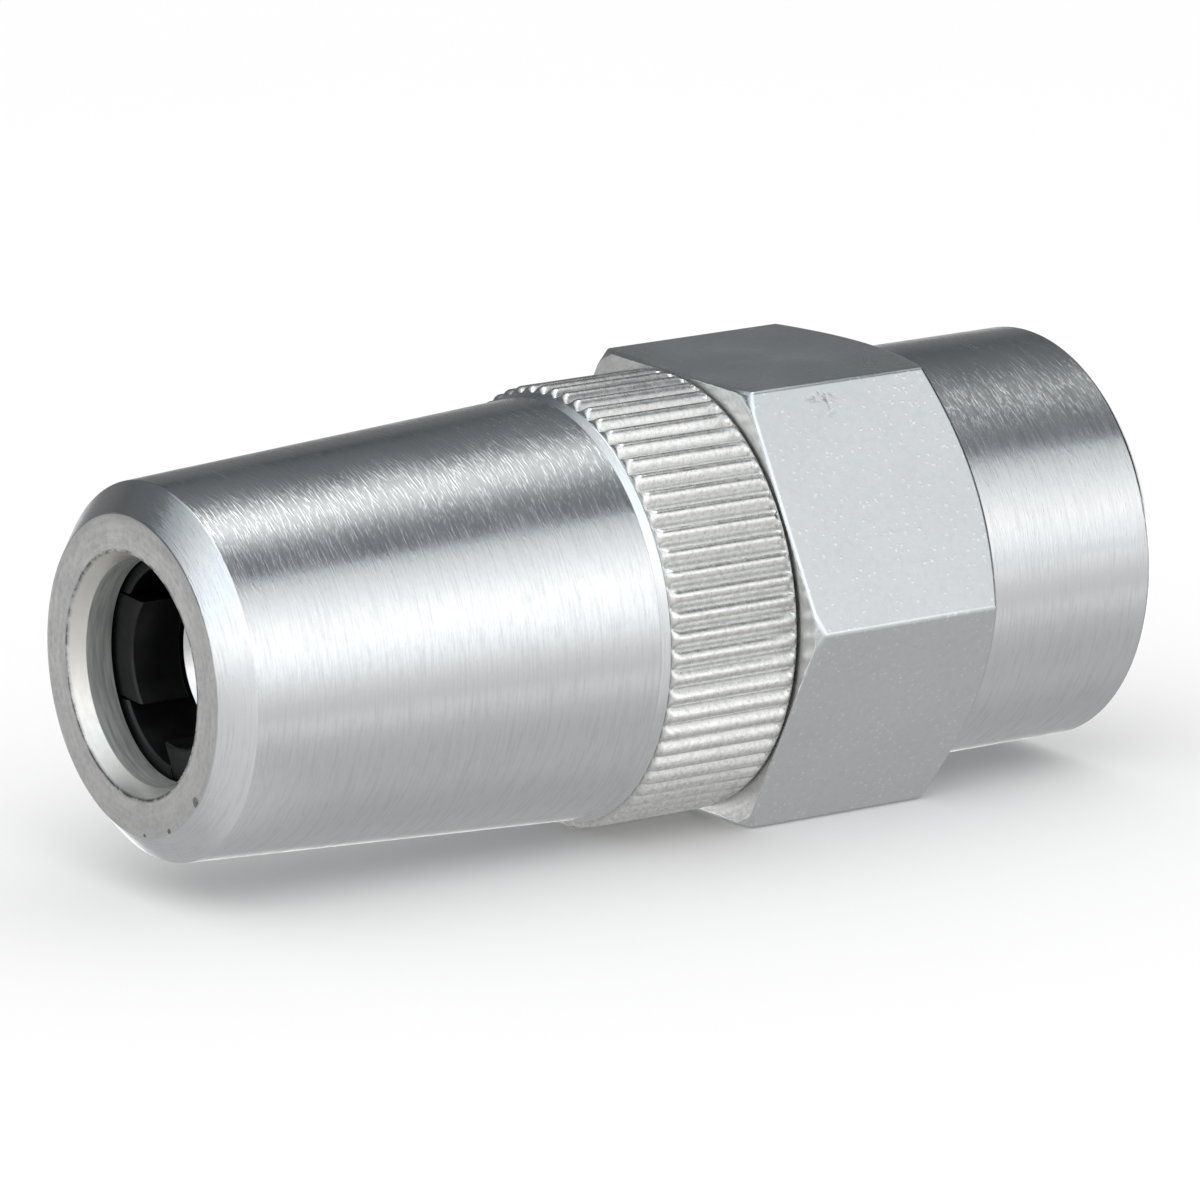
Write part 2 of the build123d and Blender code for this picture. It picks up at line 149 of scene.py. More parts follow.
# a node-based finish, put together layer by layer
class Finish:
    def __init__(self, name):
        self.material = bpy.data.materials.new(name)
        self.material.use_nodes = True
        self.nodes = self.material.node_tree.nodes
        self.links = self.material.node_tree.links
        self.shader = self.nodes["Principled BSDF"]
        self.coords = self.add("ShaderNodeTexCoord").outputs["Object"]
        self.bumpNormal = None

    def add(self, kind, **values):
        node = self.nodes.new(kind)
        for key, value in values.items():
            if hasattr(node, key):
                setattr(node, key, value)
            else:
                node.inputs[key.replace("_", " ")].default_value = value
        return node

    def link(self, source, socket):
        self.links.new(source, socket)

    def maths(self, operation, a, b=None, c=None):
        node = self.add("ShaderNodeMath", operation=operation)
        for value, socket in zip((a, b, c), node.inputs):
            if value is None:
                continue
            if isinstance(value, (int, float)):
                socket.default_value = value
            else:
                self.link(value, socket)
        return node.outputs[0]

    # coordinates whose first axis runs across the turning marks and whose others run along them; the
    # first mixes the place along the axis with the distance from it, so that end faces get rings too
    def alongTurning(self, across, along, turn=0.0):
        split = self.add("ShaderNodeSeparateXYZ")
        self.link(self.coords, split.inputs[0])
        x, y, z = split.outputs
        squares = [self.maths("MULTIPLY", side, side) for side in (y, z)]
        ring = self.maths("SQRT", self.maths("ADD", *squares))
        run = self.maths("ADD", self.maths("MULTIPLY", x, 1.25), self.maths("MULTIPLY", ring, 0.8))
        run = self.maths("ADD", run, self.maths("MULTIPLY", y, turn))
        join = self.add("ShaderNodeCombineXYZ")
        self.link(self.maths("MULTIPLY", run, across), join.inputs[0])
        self.link(self.maths("MULTIPLY", y, along), join.inputs[1])
        self.link(self.maths("MULTIPLY", z, along), join.inputs[2])
        return join.outputs[0]

    def noise(self, vector, scale, detail=3.0, roughness=0.55, distortion=0.0):
        node = self.add("ShaderNodeTexNoise", Scale=scale, Detail=detail, Roughness=roughness,
                        Distortion=distortion)
        self.link(vector, node.inputs["Vector"])
        return node.outputs[0]

    # small spots: one in each cell, of which the given share shows; size is a share of the cell,
    # and ragged is how far a spot's outline strays, as a share of the cell too
    def spots(self, scale, share, size, ragged=0.0):
        place = self.coords
        if ragged:
            stray = self.add("ShaderNodeTexNoise", Scale=scale * 2.2, Detail=2.0)
            self.link(self.coords, stray.inputs["Vector"])
            moved = self.add("ShaderNodeVectorMath", operation="MULTIPLY_ADD")
            self.link(stray.outputs["Color"], moved.inputs[0])
            moved.inputs[1].default_value = [2 * ragged / scale] * 3
            self.link(self.coords, moved.inputs[2])
            place = moved.outputs[0]
        node = self.add("ShaderNodeTexVoronoi", Scale=scale)
        self.link(place, node.inputs["Vector"])
        chosen = self.add("ShaderNodeSeparateColor")
        self.link(node.outputs["Color"], chosen.inputs[0])
        near = self.spread(node.outputs["Distance"], 1.0, 0.0, size * 0.4, size)
        return self.maths("MULTIPLY", near, self.maths("LESS_THAN", chosen.outputs[0], share))

    # distance from the axis, in millimetres
    def radius(self):
        split = self.add("ShaderNodeSeparateXYZ")
        self.link(self.coords, split.inputs[0])
        squares = [self.maths("MULTIPLY", split.outputs[n], split.outputs[n]) for n in (1, 2)]
        return self.maths("MULTIPLY", self.maths("SQRT", self.maths("ADD", *squares)), 1 / mm)

    # how near a place of the part is: 1 at the place, 0 at the reach and beyond, both in metres
    def nearPlace(self, place, reach):
        node = self.add("ShaderNodeVectorMath", operation="DISTANCE")
        self.link(self.coords, node.inputs[0])
        node.inputs[1].default_value = place
        return self.spread(node.outputs["Value"], 1.0, 0.0, 0.0, reach)

    # the sum of two values, each by its share
    def blend(self, one, share, other, otherShare):
        return self.maths("MULTIPLY_ADD", one, share, self.maths("MULTIPLY", other, otherShare))

    def spread(self, source, low, high, fromLow=0.3, fromHigh=0.7):
        node = self.add("ShaderNodeMapRange", clamp=True)
        node.inputs["From Min"].default_value = fromLow
        node.inputs["From Max"].default_value = fromHigh
        node.inputs["To Min"].default_value = low
        node.inputs["To Max"].default_value = high
        self.link(source, node.inputs["Value"])
        return node.outputs[0]

    def tint(self, source, stops):
        node = self.add("ShaderNodeValToRGB")
        ramp = node.color_ramp
        while len(ramp.elements) < len(stops):
            ramp.elements.new(0.5)
        for element, (place, colour) in zip(ramp.elements, stops):
            element.position = place
            element.color = (*colour, 1)
        self.link(source, node.inputs[0])
        return node.outputs[0]

    # dull where the source is low and bright where it is high, between the look's two levels
    def shade(self, source, look):
        low, high = look["shadeLevels"]
        return self.tint(source, [(low, look["dullColour"]), (high, look["brightColour"])])

    # brings a colour nearer to another where the factor is high
    def tone(self, colour, factor, other):
        node = self.add("ShaderNodeMix", data_type="RGBA")
        self.link(factor, node.inputs[0])
        self.link(colour, node.inputs[6])
        node.inputs[7].default_value = (*other, 1)
        return node.outputs[2]

    # adds a layer of relief; height is in millimetres
    def relief(self, source, height, strength=1.0):
        node = self.add("ShaderNodeBump", Strength=strength, Distance=height * mm)
        self.link(source, node.inputs["Height"])
        if self.bumpNormal:
            self.link(self.bumpNormal, node.inputs["Normal"])
        self.bumpNormal = node.outputs[0]

    def done(self, colour, roughness, **fixed):
        for key, value in fixed.items():
            self.shader.inputs[key.replace("_", " ")].default_value = value
        self.link(colour, self.shader.inputs["Base Color"])
        if isinstance(roughness, float):
            self.shader.inputs["Roughness"].default_value = roughness
        else:
            self.link(roughness, self.shader.inputs["Roughness"])
        if self.bumpNormal:
            self.link(self.bumpNormal, self.shader.inputs["Normal"])
        return self.material


# the turned outside: broad streaks, fine marks and sharp hairs that run round the axis
turnedZincLook = {
    "brightColour": (0.82, 0.835, 0.845), "dullColour": (0.75, 0.77, 0.78),
    "shadeLevels": (0.34, 0.52), "roughLevels": (0.36, 0.60),
    "streakAcross": 8000, "streakAlong": 620, "fineAcross": 26000, "fineAlong": 1200,
    "streakHeight": 0.0014, "fineHeight": 0.0005, "cloudHeight": 0.0016, "cloudStrength": 0.5,
    "hairAcross": 11500, "hairAlong": 2000, "hairHeight": 0.0028, "hairFrom": 0.53, "hairTo": 0.68,
    "streakTurn": 0.06, "fineTurn": -0.03, "hairTurn": 0.03,
    "cloud": 2300, "haze": 260, "hazeLow": -0.02, "hazeHigh": 0.05,
    "streakShare": 0.75, "cloudShare": 0.25,
    "smoothest": 0.12, "roughest": 0.25,
}


def makeTurnedZinc(look):
    zinc = Finish("turnedZinc")

    def marks(kind, detail):
        vector = zinc.alongTurning(look[kind + "Across"], look[kind + "Along"], look[kind + "Turn"])
        return zinc.noise(vector, 1.0, detail, 0.6)

    streaks, fine = marks("streak", 3), marks("fine", 2)
    hairs = zinc.spread(marks("hair", 2), 0.0, 1.0, look["hairFrom"], look["hairTo"])
    clouds = zinc.noise(zinc.coords, look["cloud"], 4, 0.65)
    haze = zinc.noise(zinc.coords, look["haze"], 3, 0.5)
    mixture = zinc.blend(streaks, look["streakShare"], clouds, look["cloudShare"])
    colour = zinc.shade(mixture, look)
    rough = zinc.spread(mixture, look["roughest"], look["smoothest"], *look["roughLevels"])
    rough = zinc.maths("ADD", rough, zinc.spread(haze, look["hazeLow"], look["hazeHigh"]))
    zinc.relief(streaks, look["streakHeight"])
    zinc.relief(hairs, look["hairHeight"])
    zinc.relief(fine, look["fineHeight"])
    zinc.relief(clouds, look["cloudHeight"], look["cloudStrength"])
    return zinc.done(colour, rough, Metallic=1.0)


# the nose's front face with its countersink, and the other faces square to the axis: duller, with a
# dark ring painted where the countersink starts and three nicks in the nose face, each given by its Y,
# its Z and its reach in millimetres
mouthZincLook = {
    "brightColour": (0.80, 0.80, 0.785), "dullColour": (0.68, 0.69, 0.68),
    "shadeLevels": (0.38, 0.58), "roughLevels": (0.36, 0.62), "marksShare": 0.5, "grainShare": 0.5,
    "across": 9000, "along": 700, "height": 0.0022, "grain": 5200, "grainHeight": 0.0022,
    "smoothest": 0.30, "roughest": 0.48,
    "ragged": 2600, "darkRingRadius": 4.13, "darkRingWidth": 0.09, "darkRingFrom": 0.40, "darkRingTo": 0.56,
    "darkRingColour": (0.12, 0.12, 0.115),
    "nicks": ((-3.93, -3.43, 0.21), (-2.24, -4.79, 0.13), (-0.69, -5.28, 0.11)),
    "nickEdge": (0.05, 0.35),
    "nickFrom": 0.30, "nickTo": 0.46, "nickHeight": 0.02, "nickColour": (0.27, 0.27, 0.26),
    "rimRadius": 4.09, "rimBlend": 0.03, "insideShare": 0.85, "insideColour": (0.85, 0.83, 0.785),
}


def makeMouthZinc(look):
    zinc = Finish("mouthZinc")
    marks = zinc.noise(zinc.alongTurning(look["across"], look["along"]), 1.0, 3, 0.6)
    grain = zinc.noise(zinc.coords, look["grain"], 3, 0.65)
    ragged = zinc.noise(zinc.coords, look["ragged"], 3, 0.7)
    mixture = zinc.blend(marks, look["marksShare"], grain, look["grainShare"])
    colour = zinc.shade(mixture, look)
    rim = look["rimRadius"]
    inside = zinc.spread(zinc.radius(), look["insideShare"], 0.0, rim - look["rimBlend"], rim)
    colour = zinc.tone(colour, inside, look["insideColour"])
    # a dark ring painted on the face where the countersink starts, broken up by the ragged noise
    away = zinc.maths("ABSOLUTE", zinc.maths("SUBTRACT", zinc.radius(), look["darkRingRadius"]))
    darkRing = zinc.spread(away, 1.0, 0.0, 0.0, look["darkRingWidth"])
    darkRing = zinc.maths("MULTIPLY", darkRing, zinc.spread(ragged, 0.0, 1.0, look["darkRingFrom"], look["darkRingTo"]))
    colour = zinc.tone(colour, darkRing, look["darkRingColour"])
    rough = zinc.spread(mixture, look["roughest"], look["smoothest"], *look["roughLevels"])
    zinc.relief(marks, look["height"])
    zinc.relief(grain, look["grainHeight"])
    for y, z, reach in look["nicks"]:
        near = zinc.nearPlace((noseX, y * mm, z * mm), reach * mm)
        near = zinc.spread(near, 0.0, 1.0, *look["nickEdge"])
        dent = zinc.spread(ragged, 0.0, 1.0, look["nickFrom"], look["nickTo"])
        dent = zinc.maths("MULTIPLY", near, dent)
        colour = zinc.tone(colour, dent, look["nickColour"])
        zinc.relief(dent, -look["nickHeight"])
    return zinc.done(colour, rough, Metallic=1.0)


# the nose's bore, rough and dull
boreZincLook = {
    "brightColour": (0.50, 0.52, 0.50), "dullColour": (0.33, 0.35, 0.34), "shadeLevels": (0.36, 0.60),
    "across": 7000, "along": 600, "height": 0.004, "smoothest": 0.50, "roughest": 0.66,
    "metallic": 0.45,
}


def makeBoreZinc(look):
    zinc = Finish("boreZinc")
    marks = zinc.noise(zinc.alongTurning(look["across"], look["along"]), 1.0, 4, 0.65)
    colour = zinc.shade(marks, look)
    rough = zinc.spread(marks, look["smoothest"], look["roughest"])
    zinc.relief(marks, look["height"])
    return zinc.done(colour, rough, Metallic=look["metallic"])


# the hexagon's plated flats: bright specks, a few pits and one scuffed place near a flat's front
barZincLook = {
    "brightColour": (0.80, 0.825, 0.835), "dullColour": (0.765, 0.79, 0.80),
    "shadeLevels": (0.36, 0.55),
    "grain": 4200, "grainHeight": 0.0011, "patches": 330, "smoothest": 0.24, "roughest": 0.36,
    "speckScale": 3900, "speckShare": 0.80, "speckSize": 0.28, "speckRagged": 0.34,
    "speckHeight": 0.0030, "speckColour": (0.95, 0.96, 0.96),
    "pitScale": 700, "pitShare": 0.04, "pitSize": 0.12, "pitHeight": -0.008,
    "scuff": 1900, "scuffFrom": 0.50, "scuffTo": 0.66, "scuffPlace": (-0.01213, -0.004645, 0.006954),
    "scuffReach": 0.00075, "scuffHeight": -0.016, "scuffShare": 0.8, "scuffColour": (0.30, 0.31, 0.32),
}


def makeBarZinc(look):
    zinc = Finish("barZinc")
    grain = zinc.noise(zinc.coords, look["grain"], 4, 0.65)
    patches = zinc.noise(zinc.coords, look["patches"], 3, 0.55)
    scuffs = zinc.noise(zinc.coords, look["scuff"], 3, 0.7, 0.6)
    colour = zinc.shade(grain, look)
    specks = zinc.spots(look["speckScale"], look["speckShare"], look["speckSize"], look["speckRagged"])
    colour = zinc.tone(colour, specks, look["speckColour"])
    rough = zinc.spread(patches, look["smoothest"], look["roughest"])
    zinc.relief(grain, look["grainHeight"])
    zinc.relief(specks, look["speckHeight"])
    zinc.relief(zinc.spots(look["pitScale"], look["pitShare"], look["pitSize"]), look["pitHeight"])
    near = zinc.nearPlace(look["scuffPlace"], look["scuffReach"])
    scuffed = zinc.spread(scuffs, 0.0, 1.0, look["scuffFrom"], look["scuffTo"])
    scuffed = zinc.maths("MULTIPLY", near, scuffed)
    share = zinc.maths("MULTIPLY", scuffed, look["scuffShare"])
    colour = zinc.tone(colour, share, look["scuffColour"])
    zinc.relief(scuffed, look["scuffHeight"])
    return zinc.done(colour, rough, Metallic=1.0)


# the knurl: coarse plating, with painted shade darkening its valleys
knurlZincLook = {
    "brightColour": (0.91, 0.905, 0.88), "dullColour": (0.70, 0.705, 0.69), "shadeLevels": (0.36, 0.56),
    "grain": 6500, "coarse": 2600, "grainHeight": 0.0050, "coarseHeight": 0.005,
    "smoothest": 0.20, "roughest": 0.35,
    "valleyRadius": 7.24, "crestRadius": 7.38, "valleyShadeShare": 0.75, "valleyShadeColour": (0.58, 0.59, 0.585),
}


def makeKnurlZinc(look):
    zinc = Finish("knurlZinc")
    grain = zinc.noise(zinc.coords, look["grain"], 3, 0.7)
    coarse = zinc.noise(zinc.coords, look["coarse"], 3, 0.6)
    colour = zinc.shade(grain, look)
    # painted shade: the colour darkens towards the valleys, by the distance from the axis
    low = zinc.spread(zinc.radius(), look["valleyShadeShare"], 0.0, look["valleyRadius"], look["crestRadius"])
    colour = zinc.tone(colour, low, look["valleyShadeColour"])
    rough = zinc.spread(coarse, look["smoothest"], look["roughest"])
    zinc.relief(grain, look["grainHeight"])
    zinc.relief(coarse, look["coarseHeight"])
    return zinc.done(colour, rough, Metallic=1.0)


# the jaws and their carrier
blackSteelLook = {
    "brightColour": (0.013, 0.013, 0.014), "dullColour": (0.0045, 0.0045, 0.005),
    "shadeLevels": (0.40, 0.66), "metallic": 0.2,
    "grain": 3800, "grainHeight": 0.0025, "patches": 700, "smoothest": 0.30, "roughest": 0.46,
}


def makeBlackSteel(look):
    black = Finish("blackSteel")
    grain = black.noise(black.coords, look["grain"], 4, 0.6)
    patches = black.noise(black.coords, look["patches"], 3, 0.55)
    colour = black.shade(patches, look)
    rough = black.spread(grain, look["smoothest"], look["roughest"])
    black.relief(grain, look["grainHeight"])
    return black.done(colour, rough, Metallic=look["metallic"])


# the finishes of the inner pieces; across and along are how fine their turning or drawing marks are
innerLooks = {
    "plainSteel": {"bright": (0.55, 0.555, 0.56), "dull": (0.43, 0.435, 0.44), "metallic": 1.0,
                   "smoothest": 0.25, "roughest": 0.40,
                   "across": 12000, "along": 900, "height": 0.0015},
    "brightSteel": {"bright": (0.80, 0.80, 0.80), "dull": (0.68, 0.685, 0.69), "metallic": 1.0,
                    "smoothest": 0.12, "roughest": 0.26,
                    "across": 16000, "along": 1200, "height": 0.0006},
    "polishedSteel": {"bright": (0.82, 0.82, 0.83), "dull": (0.76, 0.76, 0.77), "metallic": 1.0,
                      "smoothest": 0.04, "roughest": 0.09,
                      "across": 5000, "along": 5000, "height": 0.0002},
    "springSteel": {"bright": (0.44, 0.44, 0.45), "dull": (0.33, 0.33, 0.34), "metallic": 1.0,
                    "smoothest": 0.22, "roughest": 0.38,
                    "across": 3000, "along": 9000, "height": 0.0012},
    "sealRubber": {"bright": (0.030, 0.030, 0.031), "dull": (0.019, 0.019, 0.020), "metallic": 0.0,
                   "smoothest": 0.42, "roughest": 0.62,
                   "across": 4200, "along": 4200, "height": 0.003},
    "naturalNylon": {"bright": (0.84, 0.82, 0.75), "dull": (0.77, 0.75, 0.68), "metallic": 0.0,
                     "smoothest": 0.34, "roughest": 0.50,
                     "across": 6000, "along": 1500, "height": 0.0015},
    "backupPlastic": {"bright": (0.88, 0.88, 0.86), "dull": (0.82, 0.82, 0.80), "metallic": 0.0,
                      "smoothest": 0.30, "roughest": 0.44,
                      "across": 7000, "along": 1500, "height": 0.0012},
}


def makeInnerFinish(name, look):
    finish = Finish(name)
    marks = finish.noise(finish.alongTurning(look["across"], look["along"]), 1.0, 3, 0.6)
    patches = finish.noise(finish.coords, 900, 3, 0.55)
    colour = finish.tint(patches, [(0.38, look["dull"]), (0.62, look["bright"])])
    rough = finish.spread(marks, look["smoothest"], look["roughest"])
    finish.relief(marks, look["height"])
    return finish.done(colour, rough, Metallic=look["metallic"])


turnedZinc = makeTurnedZinc(turnedZincLook)
mouthZinc = makeMouthZinc(mouthZincLook)
boreZinc = makeBoreZinc(boreZincLook)
barZinc = makeBarZinc(barZincLook)
knurlZinc = makeKnurlZinc(knurlZincLook)
blackSteel = makeBlackSteel(blackSteelLook)
innerFinishes = {name: makeInnerFinish(name, look) for name, look in innerLooks.items()}
print("finishes made")

# the nose sleeve
sleeve = {
    "length": 21.35, "faceRadius": 5.36, "chamferLength": 0.91, "noseRadius": 6.33,
    "taperRear": 16.06, "taperRadius": 7.15, "neckRear": 16.10, "neckRadius": 7.10,
    "landRear": 16.38, "landRadius": 7.28, "rootRadius": 7.24,
    "knurlRadius": 7.5, "knurlFront": 16.40, "tipLength": 0.30, "rimWidth": 0.12, "rimRadius": 7.43,
    "teeth": 66, "toothSteps": 12, "crestFullness": 0.50,
    "landEdge": 0.03, "knurlFade": 0.20, "knurlEdge": 0.03, "rimEdge": 0.04, "edgeDrop": 0.02,
    "rimDrop": 0.10, "knurlDepth": 0.15,
    "mouthRadius": 4.10, "mouthLength": 0.55, "boreRadius": 3.75, "boreDepth": 1.52,
    "coneFront": 4.25, "cavityRadius": 5.75, "coneRear": 6.137,
    "threadBore": 5.959, "threadFront": 12.46, "grooveFront": 19.42, "grooveRear": 20.48,
    "grooveRadius": 6.359, "entry": 0.4,
}


def buildSleeve(s):
    bm = bmesh.new()
    tipRows = [(s["knurlFront"] + s["tipLength"] * (1 - math.cos(a)),
                s["rootRadius"] + (s["knurlRadius"] - s["rootRadius"]) * math.sin(a), 0)
               for a in (math.radians(d) for d in (0, 18, 36, 54, 72, 90))]
    knurlRear = s["length"] - s["rimWidth"]
    drawProfile(bm, [
        (0, s["mouthRadius"], 0.03),
        (0, s["faceRadius"], 0.05),
        (s["chamferLength"], s["noseRadius"], 0.05),
        (s["taperRear"], s["taperRadius"], 0.02),
        (s["neckRear"], s["neckRadius"], 0),
        (s["landRear"] - s["landEdge"], s["landRadius"], 0.03),
        *tipRows,
        (knurlRear - s["knurlFade"], s["knurlRadius"], 0),
        (knurlRear - s["knurlEdge"], s["knurlRadius"] - s["edgeDrop"], 0),
        (knurlRear, s["rimRadius"], 0),
        (s["length"] - s["rimEdge"], s["rimRadius"] - s["edgeDrop"], 0),
        (s["length"], s["rimRadius"] - s["rimDrop"], 0),
        (s["length"], s["threadBore"] + s["entry"], 0.03),
        (s["length"] - s["entry"], s["threadBore"], 0),
        (s["grooveRear"], s["threadBore"], 0.03),
        (s["grooveRear"], s["grooveRadius"], 0),
        (s["grooveFront"], s["grooveRadius"], 0),
        (s["grooveFront"], s["threadBore"], 0.03),
        (s["threadFront"], s["threadBore"], 0),
        (s["threadFront"] - s["entry"], s["cavityRadius"], 0),
        (s["coneRear"], s["cavityRadius"], 0),
        (s["boreDepth"], s["coneFront"], 0),
        (s["boreDepth"], s["boreRadius"], 0.02),
        (s["mouthLength"], s["boreRadius"], 0.03),
    ])
    turn(bm, s["teeth"] * s["toothSteps"])
    pitch = math.tau / s["teeth"]
    for vert in bm.verts:
        excess = radiusOf(vert) - s["rootRadius"]
        if excess > slack / 100 and s["landRear"] < stationOf(vert) < knurlRear - slack:
            phase = math.atan2(vert.co.y, vert.co.z) / pitch * math.tau
            crest = (0.5 + 0.5 * math.cos(phase)) ** s["crestFullness"]
            setRadius(vert, s["rootRadius"] + excess * crest)
    for face in bm.faces:
        station, away = placeOf(face)
        if away > s["rootRadius"] - s["knurlDepth"] and station > s["landRear"] - slack:
            face.material_index = 1
        elif station < s["mouthLength"] and away < s["faceRadius"] - 2 * slack:
            face.material_index = 2
        elif station < s["coneRear"] and away < s["coneFront"]:
            face.material_index = 3
    return finishPiece(bm, "noseSleeve", "sleeve", "nose_sleeve",
                       [turnedZinc, knurlZinc, mouthZinc, boreZinc], sharpAngle=60)


buildSleeve(sleeve)

# the hexagon with its collar and threaded spigot
hexBody = {
    "hexFront": 21.43, "hexRear": 29.4, "flatHalf": 7.5, "cornerRadius": 8.80,
    "frontCircle": 7.5 / math.cos(math.radians(25)), "frontAngle": 30,
    "rearCircle": 7.36, "rearAngle": 31,
    "edgeWidth": 0.12, "steps": 144,
    "collarRadius": 7.10, "collarEdge": 0.28,
    "spigotFront": 13.25, "spigotRadius": 5.899, "spigotRoot": 5.37, "spigotEdge": 0.35,
    "undercut": 20.9,
    "boreRadius": 4.6, "valveRadius": 2.2, "retainerRear": 23.22, "seatLarge": 26.55,
    "passageRadius": 0.95, "passageFront": 27.9, "inletFloor": 28.8,
    "inletMinor": 4.459, "inletMajor": 5.0, "mouthRadius": 5.05, "coneRear": 30.908,
    "threadRun": 31.35, "runOutSlope": 2, "inletChamfer": 0.4, "chamferSlope": 1.4775,
    "spigotLead": 0.18, "mouthEdge": 0.05, "runOutLength": 0.5, "valveFloor": 0.1,
    "outerCrest": 0.16, "innerCrest": 0.20, "ridgeBase": 0.84, "ridgeSink": 0.02,
    "outerStart": 0.25, "outerStop": 0.35, "outerSpare": 0.1,
    "innerStart": 0.75, "innerStop": 0.46, "innerSpare": 0.03, "runOutStart": 0.45,
}


# a screw thread's ridge of 1 mm pitch, as a closed strip whose roots lie just under the wall
# that carries it
def addThread(bm, front, rear, root, crest, crestWidth, baseWidth, limit):
    before = set(bm.verts)
    corners = [(front - baseWidth / 2, root), (front - crestWidth / 2, crest),
               (front + crestWidth / 2, crest), (front + baseWidth / 2, root)]
    verts = [bm.verts.new(at(station, radius)) for station, radius in corners]
    face = bm.faces.new(verts)
    steps = 72
    count = int(round((rear - front) * steps))
    bmesh.ops.spin(
        bm, geom=[face] + list(face.edges) + verts, cent=(0, 0, 0), axis=(-1, 0, 0),
        dvec=(mm / steps, 0, 0), angle=-math.tau * count / steps, steps=count, use_merge=False,
    )
    for vert in set(bm.verts) - before:
        limit(vert)


def buildHexBody(s):
    bm = bmesh.new()
    rise = s["cornerRadius"] - s["frontCircle"]
    rearRise = s["cornerRadius"] - s["rearCircle"]
    drawProfile(bm, [
        (s["spigotFront"], s["boreRadius"], 0.03),
        (s["spigotFront"], s["spigotRadius"] - s["spigotEdge"] - s["spigotLead"], 0),
        (s["spigotFront"] + s["spigotLead"], s["spigotRoot"], 0),
        (s["undercut"], s["spigotRoot"], 0.05),
        (s["hexFront"], s["spigotRoot"], 0),
        (s["hexFront"], s["frontCircle"], 0),
        (s["hexFront"] + rise * math.tan(math.radians(s["frontAngle"])), s["cornerRadius"], 0),
        (s["hexRear"] - rearRise * math.tan(math.radians(s["rearAngle"])), s["cornerRadius"], 0),
        (s["hexRear"], s["rearCircle"], 0.02),
        (s["hexRear"], s["collarRadius"], 0.06),
        (partLength - s["collarEdge"], s["collarRadius"], 0.08),
        (partLength, s["collarRadius"] - s["collarEdge"], 0.05),
        (partLength, s["mouthRadius"], 0.04),
        (partLength - s["mouthEdge"], s["inletMajor"], 0),
        (s["threadRun"] + s["runOutLength"], s["inletMajor"], 0),
        (s["threadRun"], s["inletMinor"], 0),
        (s["coneRear"], s["inletMinor"], 0),
        (s["inletFloor"], s["passageRadius"], 0.03),
        (s["passageFront"], s["passageRadius"], 0),
        (s["seatLarge"] + s["valveFloor"], s["valveRadius"], 0),
        (s["retainerRear"], s["valveRadius"], 0),
        (s["retainerRear"], s["boreRadius"], 0),
    ])
    turn(bm, s["steps"])
    bmesh.ops.remove_doubles(bm, verts=bm.verts, dist=weld)
    for number in range(6):
        normal = Matrix.Rotation(math.radians(60 * number), 3, "X") @ Vector((0, 0, 1))
        cutFlat(bm, normal * s["flatHalf"] * mm, normal)
    bmesh.ops.recalc_face_normals(bm, faces=bm.faces)
    # the flats are the only faces with many corners, one for each step of the turned rims
    flats = [f for f in bm.faces if len(f.verts) > 20]
    rims = {e for f in flats for e in f.edges}
    breakEdges(bm, sharpEdges(bm, 4, lambda e: e in rims), s["edgeWidth"], 3, clamp=False)
    bm.normal_update()
    for face in bm.faces:
        station, away = placeOf(face)
        between = s["hexFront"] + slack < station < s["hexRear"] - 2 * slack
        inHex = between and away > s["rearCircle"] - 2 * slack
        faced = abs(face.normal.x) > 0.99 and away > s["inletMajor"]
        face.material_index = 2 if faced else 1 if inHex else 0

    def withinSpigot(vert):
        start = stationOf(vert) - s["spigotFront"]
        most = s["spigotRadius"] - s["spigotEdge"] + start
        setRadius(vert, min(radiusOf(vert), max(most, s["spigotRoot"] - s["outerSpare"])))

    def withinInlet(vert):
        station = stationOf(vert)
        mouth = s["inletMinor"] + (station - partLength + s["inletChamfer"]) * s["chamferSlope"]
        run = max(station - s["threadRun"] - s["runOutStart"], 0)
        runOut = s["inletMajor"] - run * s["runOutSlope"]
        setRadius(vert, min(max(radiusOf(vert), mouth, runOut), s["inletMajor"] + s["innerSpare"]))

    addThread(bm, s["spigotFront"] + s["outerStart"], s["undercut"] - s["outerStop"],
              s["spigotRoot"] - s["ridgeSink"], s["spigotRadius"], s["outerCrest"], s["ridgeBase"],
              withinSpigot)
    addThread(bm, s["threadRun"] + s["innerStart"], partLength - s["innerStop"],
              s["inletMajor"] + s["ridgeSink"], s["inletMinor"], s["innerCrest"], s["ridgeBase"],
              withinInlet)
    return finishPiece(bm, "hexagonBody", "connector", "hex_body",
                       [turnedZinc, barZinc, mouthZinc], sharpAngle=35)


buildHexBody(hexBody)

# the jaws
jaws = {
    "count": 3, "turn": 3.0, "width": 3.5, "front": 1.62, "rear": 8.22, "edge": 0.08,
    "steps": 36, "sweep": 90, "coneStep": 0.02,
    "lipRadius": 2.65, "lipRear": 3.45, "pocketRadius": 3.45, "pocketFront": 4.25,
    "coneRadius": 4.2299, "taperRear": 3.6661, "backRadius": 5.0,
    "grooveCentre": 6.42, "grooveHalf": 0.28, "grooveRadius": 3.87, "softness": 0.05,
}


